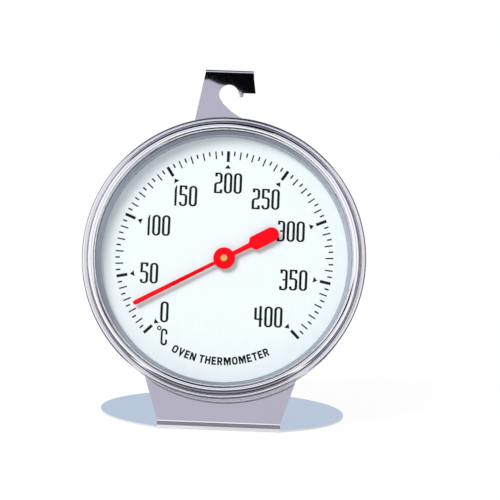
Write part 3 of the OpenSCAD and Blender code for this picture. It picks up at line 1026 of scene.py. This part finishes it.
def flat_sheet(name, corners, unit, height):
    """A level sheet over corners counted in units."""
    mesh = bmesh.new()
    mesh.faces.new([mesh.verts.new((x * unit, y * unit, height)) for x, y in corners])
    return placed(name, mesh)


class THERMOMETER_OT_stage(bpy.types.Operator):
    """Sets the floor, the light and the camera"""
    bl_idname = "thermometer.stage"
    bl_label = "Stage"
    bl_options = UNDO

    def execute(self, context):
        scene = context.scene
        sizes = scene.thermometer_stage
        self.lay_floor(sizes)
        self.set_flags()
        self.light_world(scene, sizes)
        self.hang_lamp(sizes)
        self.set_camera(scene, sizes)
        scene.view_settings.view_transform = "Standard"
        return {"FINISHED"}

    def lay_floor(self, sizes):
        floor = flat_sheet("studio_floor", [(-1, -1), (1, -1), (1, 1), (-1, 1)], sizes.floor / 2, 0)
        material, net, shader = new_material("floor_paper", Roughness=0.9, Specular_IOR_Level=0.0)
        fibre = net.noise(net.where(), 900.0, 2.0)
        feed(net, shader, Base_Color=net.mix(fibre, (0.94, 0.94, 0.95), (0.97, 0.97, 0.97)))
        rays = net.node("ShaderNodeLightPath", out="Is Camera Ray")
        shown = rays.math("MAXIMUM", rays["Is Transmission Ray"])
        shown = shown.math("MAXIMUM", rays["Is Glossy Ray"] * FLOOR_IN_METAL)
        glow = net.node("ShaderNodeEmission", {"Color": (1, 1, 1, 1), "Strength": FLOOR_GLOW})
        lift = net.node("ShaderNodeMixShader", {
            0: shown * FLOOR_SEEN, 1: Wire(net, shader.outputs[0]), 2: glow})
        output = next(node for node in net.tree.nodes if node.type == "OUTPUT_MATERIAL")
        net.put(output.inputs["Surface"], lift)
        dress(floor, material)

    def cloth(self, name, dark, light, fineness, fade=None):
        """Matt cloth between two shades. A fade is the depth where it is dark and where it is light."""
        material, net, shader = new_material(name, Specular_IOR_Level=0.0)
        where = net.where()
        weave = net.noise(where, fineness)
        if fade:
            weave = net.split(where)[1].step(*fade) + weave * 0.04
        feed(net, shader, Base_Color=net.mix(weave, dark, light))
        return material

    def set_flags(self):
        """Dark cards that only bright metal shows: on the floor round the object, and over it."""
        cloth = self.cloth("flag_cloth", (0.001, 0.001, 0.002), (0.004, 0.004, 0.005), 800.0)
        felt = self.cloth("flag_felt", (0.10, 0.10, 0.13), (0.15, 0.15, 0.18), 300.0)
        faded = self.cloth("flag_faded", (0.015, 0.015, 0.02), (0.36, 0.34, 0.38), 300.0,
                           (-50 * MM, -30 * MM))
        finishes = {"front_flag": faded, "bow_flag": cloth, "top_flag": cloth}
        heights = {"bow_flag": 50 * MM, "top_flag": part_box("hanger_stand")[1].z + 16 * MM}
        for name, corners in CARDS.items():
            flag = flat_sheet(name, corners, MM, heights.get(name, 0.2 * MM))
            dress(flag, finishes.get(name, felt))
            for sight in ("camera", "diffuse", "shadow", "transmission"):
                setattr(flag, "visible_" + sight, False)

    def light_world(self, scene, sizes):
        """Even light all round for paint and paper, and shaded zones that bright metal shows."""
        scene.world = bpy.data.worlds.new("studio")
        net = emptied(scene.world)
        x, y, z = net.split(net.node("ShaderNodeTexCoord", out="Generated"))
        pitch = z.math("ARCTAN2", (x * x + y * y) ** 0.5)
        yaw = x.math("ARCTAN2", 0.0 - y)
        turn = yaw.math("ABSOLUTE")

        def past(value, low, high):
            """0 to 1 as an angle goes from low to high, in degrees."""
            return value.step(math.radians(low), math.radians(high))

        colour = (1.06, 1.06, 1.09)
        for zone, shade in (
                (past(yaw, 52, 72), (0.22, 0.19, 0.22)),  # right side
                (past(0.0 - yaw, 92, 110), (0.16, 0.15, 0.18)),  # left side
                (past(turn, 150, 165) * (1.0 - past(pitch, 28, 40)), (0.56, 0.66, 0.80)),  # behind
                (past(pitch, 40, 50), (0.86, 0.87, 0.92)),  # high
                (past(pitch, 74, 88).math("MAXIMUM", past(turn, 95, 115) * past(pitch, 15, 24)),
                 (0.15, 0.17, 0.26)),  # zenith, and high over the back
                (past(pitch, 7.2, 8.8) * (1.0 - past(pitch, 35.2, 36.8)) * (1.0 - past(turn, 8, 12)),
                 (0.56, 0.54, 0.64))):  # panel in front
            colour = net.mix(zone, colour, shade)
        seen = net.node("ShaderNodeLightPath")
        even = tuple(sizes.fill * part for part in (0.97, 0.99, 1.03))
        shown = net.mix(seen, net.mix(seen["Is Glossy Ray"], even, colour), (1, 1, 1))
        light = net.node("ShaderNodeBackground", {"Color": shown, "Strength": 1.0})
        net.node("ShaderNodeOutputWorld", {"Surface": light})

    def hang_lamp(self, sizes):
        key = bpy.data.lights.new("key", "AREA")
        key.shape, key.size, key.energy = "DISK", KEY_SIZE, sizes.key_power
        lamp = linked("key", key)
        lamp.location = PIVOT + KEY_PLACE
        lamp.rotation_mode = "QUATERNION"
        lamp.rotation_quaternion = (PIVOT - lamp.location).to_track_quat("-Z", "Y")
        lamp.visible_glossy = False

    def set_camera(self, scene, sizes):
        across = Vector((math.sin(sizes.azimuth), -math.cos(sizes.azimuth), 0))
        toward = across * math.cos(sizes.elevation) + Vector((0, 0, math.sin(sizes.elevation)))
        level = (-toward).cross(Vector((0, 0, 1))).normalized()
        upright = level.cross(-toward)
        right = level * math.cos(sizes.roll) + upright * math.sin(sizes.roll)
        up = upright * math.cos(sizes.roll) - level * math.sin(sizes.roll)
        aim = PIVOT + OUT * sizes.aim_out + right * sizes.aim_right + up * sizes.aim_up
        lens = bpy.data.cameras.new("camera")
        lens.lens, lens.sensor_width = sizes.lens, 36
        lens.clip_start, lens.clip_end = 0.01, 10
        camera = linked("camera", lens)
        camera.matrix_world = Matrix.Translation(aim + toward * sizes.distance) @ Matrix(
            (right, up, toward)).transposed().to_4x4()
        scene.camera = camera


GROUPS = {"thermometer_case": ThermometerCase, "thermometer_dial": ThermometerDial,
          "thermometer_finishes": ThermometerFinishes, "thermometer_stage": ThermometerStage}
MAKERS = (THERMOMETER_OT_case, THERMOMETER_OT_bezel, THERMOMETER_OT_spacer, THERMOMETER_OT_glass,
          THERMOMETER_OT_marks, THERMOMETER_OT_figures, THERMOMETER_OT_wording,
          THERMOMETER_OT_pointer, THERMOMETER_OT_boss, THERMOMETER_OT_stand,
          THERMOMETER_OT_movement, THERMOMETER_OT_stage)


class THERMOMETER_PT_panel(bpy.types.Panel):
    """Lists the sizes, the finishes and the steps that build the thermometer"""
    bl_label = "Oven thermometer"
    bl_idname = "THERMOMETER_PT_panel"
    bl_space_type = "VIEW_3D"
    bl_region_type = "UI"
    bl_category = "Oven thermometer"

    def draw(self, context):
        layout = self.layout
        for name, group in GROUPS.items():
            box = layout.box()
            for field in group.__annotations__:
                box.prop(getattr(context.scene, name), field)
        for maker in MAKERS:
            layout.operator(maker.bl_idname)


def register():
    for name, group in GROUPS.items():
        bpy.utils.register_class(group)
        setattr(bpy.types.Scene, name, PointerProperty(type=group))
    for maker in MAKERS:
        bpy.utils.register_class(maker)
    bpy.utils.register_class(THERMOMETER_PT_panel)


def unregister():
    bpy.utils.unregister_class(THERMOMETER_PT_panel)
    for maker in reversed(MAKERS):
        bpy.utils.unregister_class(maker)
    for name, group in reversed(GROUPS.items()):
        delattr(bpy.types.Scene, name)
        bpy.utils.unregister_class(group)


def main():
    register()
    for maker in MAKERS:
        family, step = maker.bl_idname.split(".")
        getattr(getattr(bpy.ops, family), step)()


if __name__ == "__main__":
    main()
